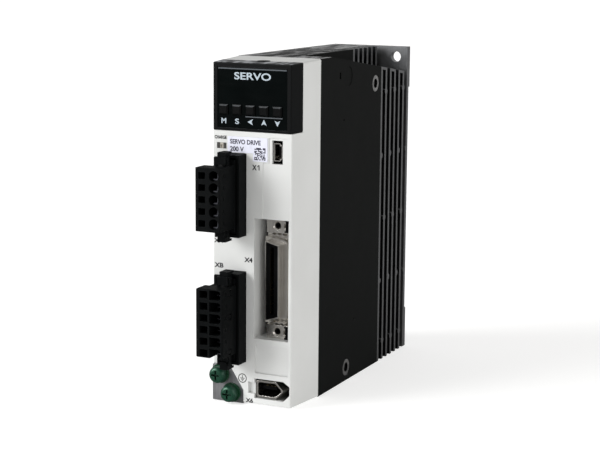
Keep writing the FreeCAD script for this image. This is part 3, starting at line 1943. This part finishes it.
def heatsink():
    """Cast aluminium base wall, upright fins and rear plate with two mounting pads."""
    clear = D.sink_clear
    inner = (D.shell_wall + clear, D.case_height - D.shell_wall - clear)
    left = D.sink_left
    base = left + D.sink_base
    right = D.case_width
    first = D.fin_first - D.fin_thick / 2
    wall_front = box(
        "sink_wall_front",
        (across(left), across(base)),
        (deep(D.sink_front), deep(first + 1)),
        inner,
    )
    wall_rear = box(
        "sink_wall_rear",
        (across(left), across(base)),
        (deep(first), deep(D.plate_rear)),
        (as_size(0), D.case_height),
    )
    fins = []
    for index in range(count("fin_count")):
        d = D.fin_first + D.fin_pitch * index
        half = D.fin_thick / 2
        fins.append(
            box(
                f"fin_{index}",
                (across(base - 0.5), across(right)),
                (deep(d - half), deep(d + half)),
                (as_size(0), D.case_height),
            )
        )
    rear_plate = box(
        "sink_rear_plate",
        WIDTH,
        (deep(D.plate_front), deep(D.plate_rear)),
        (as_size(0), D.case_height),
    )
    pads = [
        box(f"sink_pad_{name}", WIDTH, (deep(D.plate_rear - 0.5), deep(D.case_depth)), span)
        for name, span in (
            ("low", (as_size(0), D.pad_height)),
            ("high", (D.case_height - D.pad_height, D.case_height)),
        )
    ]
    studs = []
    for index in range(1, count("fin_count"), 2):
        d = D.fin_first + D.fin_pitch * index
        for row in range(3):
            studs.append(sink_stud(f"stud_odd_{index}_{row}", d, D.stud_high - D.stud_pitch * row))
    for index in range(0, count("fin_count") + 1, 2):
        d = D.fin_first + D.fin_pitch * index + D.stud_shift
        if index == count("fin_count"):
            d = D.plate_rear - D.stud_radius
        for row in range(2):
            studs.append(sink_stud(f"stud_even_{index}_{row}", d, D.stud_between - D.stud_pitch * row))
    bosses = []
    holes = []
    for name, d, z in side_screws():
        centre = (deep(d), z)
        bosses.append(
            rod(
                f"sink_boss_{name}",
                "X",
                centre,
                (across(base - 0.5), across(right - D.side_wall - D.side_boss - 0.2)),
                D.boss_radius,
            )
        )
        holes.append(
            rod(
                f"sink_tap_{name}",
                "X",
                centre,
                (across(right - D.side_screw_length - 2), across(right)),
                D.screw_radius + D.thread_gap,
            )
        )
    for name, a, z in (
        ("high", D.hole_across_high, D.case_height - D.hole_edge),
        ("low", D.hole_across_low, D.hole_edge),
    ):
        holes.append(
            rod(
                f"sink_hole_{name}",
                "Y",
                (across(a), z),
                (deep(D.plate_front - 1), deep(D.case_depth + 1)),
                D.hole_radius,
            )
        )
    for index, z in enumerate(module_screw_heights()):
        holes.append(
            rod(
                f"sink_module_tap_{index}",
                "X",
                (deep(D.module_front + D.module_length / 2), z),
                (across(left - 1), across(base + 1)),
                D.post_hole + D.thread_gap,
            )
        )
    access = prism(
        "sink_access",
        "X",
        [
            (deep(D.side_rear - 1), ramp_height(D.side_rear - 1)),
            (deep(D.plate_front), ramp_height(D.plate_front)),
            (deep(D.plate_front), D.case_height + 1),
            (deep(D.side_rear - 1), D.case_height + 1),
        ],
        (across(D.ramp_left), across(right + 1)),
    )
    bridges = []
    for index in range(0, count("fin_count"), 2):
        start = D.fin_first + D.fin_pitch * index
        end = start + D.fin_pitch
        bridges.append(
            prism(
                f"fin_bridge_{index}",
                "X",
                [
                    (deep(start), ramp_height(start) - D.fin_bridge),
                    (deep(end), ramp_height(end) - D.fin_bridge),
                    (deep(end), ramp_height(end)),
                    (deep(start), ramp_height(start)),
                ],
                (across(D.ramp_left), across(right)),
            )
        )
    solid = join("sink_body", [wall_front, wall_rear, rear_plate] + fins + pads + studs + bosses + bridges)
    return node(carve("heatsink", solid, holes + [access]))


def sink_stud(name, d, z):
    """Round pad on the edge of a fin, left by the casting tool."""
    right = D.case_width
    return rod(name, "X", (deep(d), z), (across(right - D.stud_length), across(right)), D.stud_radius)


# ---------------------------------------------------------------- electronics


def module_screw_heights():
    """Heights of the two screws through the power module."""
    low = D.module_low + D.module_screw_edge
    high = D.module_low + D.module_height - D.module_screw_edge
    return low, high


def power_module():
    """Power semiconductor block, its pins, thermal pad and two screws."""
    right = D.sink_left - D.pad_thick
    left = right - D.module_thick
    front = D.module_front
    rear = front + D.module_length
    height = (D.module_low, D.module_low + D.module_height)
    body = box("module_body", (across(left), across(right - 0.02)), (deep(front), deep(rear)), height)
    pins = []
    size = D.module_pin_size
    for index in range(count("module_pin_count")):
        z = D.module_low + 4 + D.module_pin_pitch * index
        for name, d in (("front", front + 1.5), ("rear", rear - 1.5)):
            pins.append(
                square_x(
                    f"module_pin_{name}_{index}",
                    d,
                    z,
                    size,
                    (across(D.power_board_left + D.board_thick), across(left + 0.5)),
                )
            )
    middle = deep(front + D.module_length / 2)
    bore = D.post_hole + 0.3
    holes = []
    pad_holes = []
    for index, z in enumerate(module_screw_heights()):
        centre = (middle, z)
        holes.append(rod(f"module_hole_{index}", "X", centre, (across(left - 1), across(right + 1)), bore))
        inside = (across(right - 1), across(D.sink_left + 1))
        pad_holes.append(rod(f"pad_hole_{index}", "X", centre, inside, bore))
    node(carve("power_module", join("module_blank", [body] + pins), holes))
    sheet_x = (across(right), across(D.sink_left - 0.02))
    pad = box("module_pad_sheet", sheet_x, (deep(front), deep(rear)), height)
    node(carve("thermal_pad", pad, pad_holes))
    screws = []
    for index, z in enumerate(module_screw_heights()):
        head = rod(
            f"module_head_{index}",
            "X",
            (middle, z),
            (across(left - D.board_screw_head_thick), across(left - 0.02)),
            D.board_screw_head,
        )
        shank = rod(
            f"module_shank_{index}",
            "X",
            (middle, z),
            (across(left - 0.5), across(D.sink_left + 2.5)),
            D.post_hole - 0.05,
        )
        screws.append(join(f"module_screw_{index}", [head, shank]))
    node(bundle("module_screws", screws))


def square_x(name, d, z, size, x):
    """A square bar along X."""
    half = size / 2
    return box(name, x, (deep(d - half), deep(d + half)), (z - half, z + half))


def circuit_boards():
    """Power board on the left, control board on the right, and the posts that join them."""
    thick = D.board_thick
    left = D.power_board_left
    power = box(
        "power_sheet",
        (across(left), across(left + thick)),
        (deep(D.power_board_front), deep(D.power_board_rear)),
        (D.power_board_low, D.power_board_high),
    )
    start = D.control_board_left
    control = prism(
        "control_sheet",
        "X",
        [
            (deep(D.control_board_front), D.control_board_low),
            (deep(D.control_board_neck), D.control_board_low),
            (deep(D.control_board_neck), D.control_board_step),
            (deep(D.control_board_rear), D.control_board_step),
            (deep(D.control_board_rear), D.control_board_high),
            (deep(D.control_board_front), D.control_board_high),
        ],
        (across(start), across(start + thick)),
    )
    posts = []
    screws = []
    power_holes = []
    control_holes = []
    for name, d, z in (
        ("a", D.post_front, D.post_low),
        ("b", D.post_front, D.post_high),
        ("c", D.control_board_neck, D.post_low),
        ("d", D.control_board_neck, D.post_high),
    ):
        centre = (deep(d), z)
        outer = rod(f"post_{name}", "X", centre, (across(left + thick), across(start)), D.post_radius)
        bore = rod(
            f"post_bore_{name}",
            "X",
            centre,
            (across(start - D.board_screw_length), across(start + 1)),
            D.post_hole,
        )
        posts.append(carve(f"board_post_{name}", outer, [bore]))
        control_holes.append(
            rod(f"control_hole_{name}", "X", centre, (across(start - 1), across(start + 3)), D.post_hole)
        )
        shank = rod(
            f"board_shank_{name}",
            "X",
            centre,
            (across(start - D.board_screw_length + 1), across(start + thick + 0.5)),
            D.board_screw_radius,
        )
        head = rod(
            f"board_head_{name}",
            "X",
            centre,
            (across(start + thick + 0.02), across(start + thick + D.board_screw_head_thick)),
            D.board_screw_head,
        )
        screws.append(join(f"board_screw_{name}", [head, shank]))
    for index, z in enumerate(module_screw_heights()):
        power_holes.append(
            rod(
                f"driver_hole_{index}",
                "X",
                (deep(D.module_front + D.module_length / 2), z),
                (across(left - 1), across(left + thick + 1)),
                D.board_screw_head,
            )
        )
    node(carve("power_board", power, power_holes))
    node(carve("control_board", control, control_holes))
    node(bundle("board_posts", posts))
    node(bundle("board_screws", screws))


def power_parts():
    """What stands on the power board."""
    face = D.power_board_left + D.board_thick
    cans = []
    for index in range(count("capacitor_count")):
        centre = (deep(D.capacitor_depth), D.capacitor_low + D.capacitor_pitch * index)
        top = face + D.capacitor_length
        can = rod(f"can_{index}", "X", centre, (across(face), across(top)), D.capacitor_radius)
        soft = rounded(f"can_soft_{index}", can, D.capacitor_rim, at_right_end(across(top)))
        start = face + D.capacitor_groove_at
        ring = rod(
            f"can_ring_{index}",
            "X",
            centre,
            (across(start), across(start + D.capacitor_groove * 2)),
            D.capacitor_radius + 1,
        )
        core = rod(
            f"can_core_{index}",
            "X",
            centre,
            (across(start - 1), across(start + 3)),
            D.capacitor_radius - D.capacitor_groove,
        )
        cans.append(carve(f"capacitor_{index}", soft, [carve(f"can_groove_{index}", ring, [core])]))
    node(bundle("bulk_capacitors", cans))

    relay = box(
        "relay_block",
        (across(face), across(face + D.relay_thick)),
        (deep(D.relay_front), deep(D.relay_front + D.relay_length)),
        (D.relay_low, D.relay_low + D.relay_height),
    )
    node(rounded("inrush_relay", relay, D.capacitor_rim, at_right_end(across(face + D.relay_thick))))

    ring = doc.addObject("Part::Torus", "filter_choke")
    ring.Placement = Placement(Vector(), TURNS["X"])
    bind(ring, "Radius1", D.choke_ring)
    bind(ring, "Radius2", D.choke_wire)
    place(ring, across(face + D.choke_wire + 0.1), deep(D.choke_depth), D.choke_height)
    node(ring)

    bridge = box(
        "bridge_block",
        (across(face), across(face + D.bridge_thick)),
        (deep(D.bridge_front), deep(D.bridge_front + D.bridge_length)),
        (D.bridge_low, D.bridge_low + D.bridge_height),
    )
    hole = rod(
        "bridge_centre_hole",
        "X",
        (deep(D.bridge_front + D.bridge_length / 2), D.bridge_low + D.bridge_height / 2),
        (across(face - 1), across(face + D.bridge_thick + 1)),
        D.bridge_hole,
    )
    node(carve("rectifier_bridge", bridge, [hole]))

    block = box(
        "link_block",
        (across(face), across(face + D.link_block)),
        (deep(D.link_front), deep(D.link_front + D.link_width)),
        (D.link_low, D.link_low + D.link_length),
    )
    pins = [
        square_x(
            f"link_pin_{index}",
            D.link_front + D.link_width / 2,
            D.link_low + 1.8 + D.link_pin_pitch * index,
            D.link_pin_size,
            (across(face + D.link_block - 1), across(D.control_board_left)),
        )
        for index in range(count("link_pin_count"))
    ]
    node(join("board_link", [block] + pins))


def at_right_end(x):
    """A test for edges that lie in the plane at that X."""
    def test(edge):
        return abs(edge.BoundBox.XMin - x.value) < 0.01 and abs(edge.BoundBox.XMax - x.value) < 0.01
    return test


def control_parts():
    """What stands on the left face of the control board."""
    right = D.control_board_left
    chip = box(
        "processor",
        (across(right - D.chip_thick), across(right)),
        (deep(D.chip_front), deep(D.chip_front + D.chip_size)),
        (D.chip_low, D.chip_low + D.chip_size),
    )
    node(chip)
    front = D.transformer_front
    rear = front + D.transformer_length
    low = D.transformer_low
    high = low + D.transformer_height
    inset = D.transformer_inset
    left = D.transformer_left
    core = D.transformer_core
    bobbin = box(
        "bobbin",
        (across(left + inset), across(right)),
        (deep(front + inset), deep(rear - inset)),
        (low, high),
    )
    yoke = box(
        "yoke",
        (across(left), across(right - inset)),
        (deep(front), deep(rear)),
        ((low + high) / 2 - core, (low + high) / 2 + core),
    )
    node(join("control_transformer", [bobbin, yoke]))


def build():
    """Make every sub-part."""
    front_cover()
    display_bezel()
    display_window()
    for index, name in enumerate(("mode", "set", "shift", "up", "down")):
        push_button(index, "button_" + name)
    display_electronics()
    charge_lamp()
    front_label()
    usb_socket()
    signal_socket()
    network_socket()
    earth_terminals()
    main_plug()
    motor_plug()
    case_shell()
    side_cover()
    side_cover_screws()
    heatsink()
    power_module()
    circuit_boards()
    power_parts()
    control_parts()


def export():
    """Recompute, test every object and write one file for each sub-part."""
    doc.recompute()
    for item in doc.Objects:
        broken = [word for word in ("Invalid", "Error") if word in item.State]
        if broken:
            raise RuntimeError(f"{item.Name}: {item.State}")
    os.makedirs("parts", exist_ok=True)
    for item in NODES:
        shape = item.Shape
        if shape.isNull() or not shape.isValid() or not shape.Solids:
            raise RuntimeError(f"{item.Label} has no valid solid")
        shape.exportStep(f"parts/{item.Label}.step")
        print(f"{item.Label}: {len(shape.Solids)} solid(s), {shape.Volume:.1f} mm3")


build()
export()
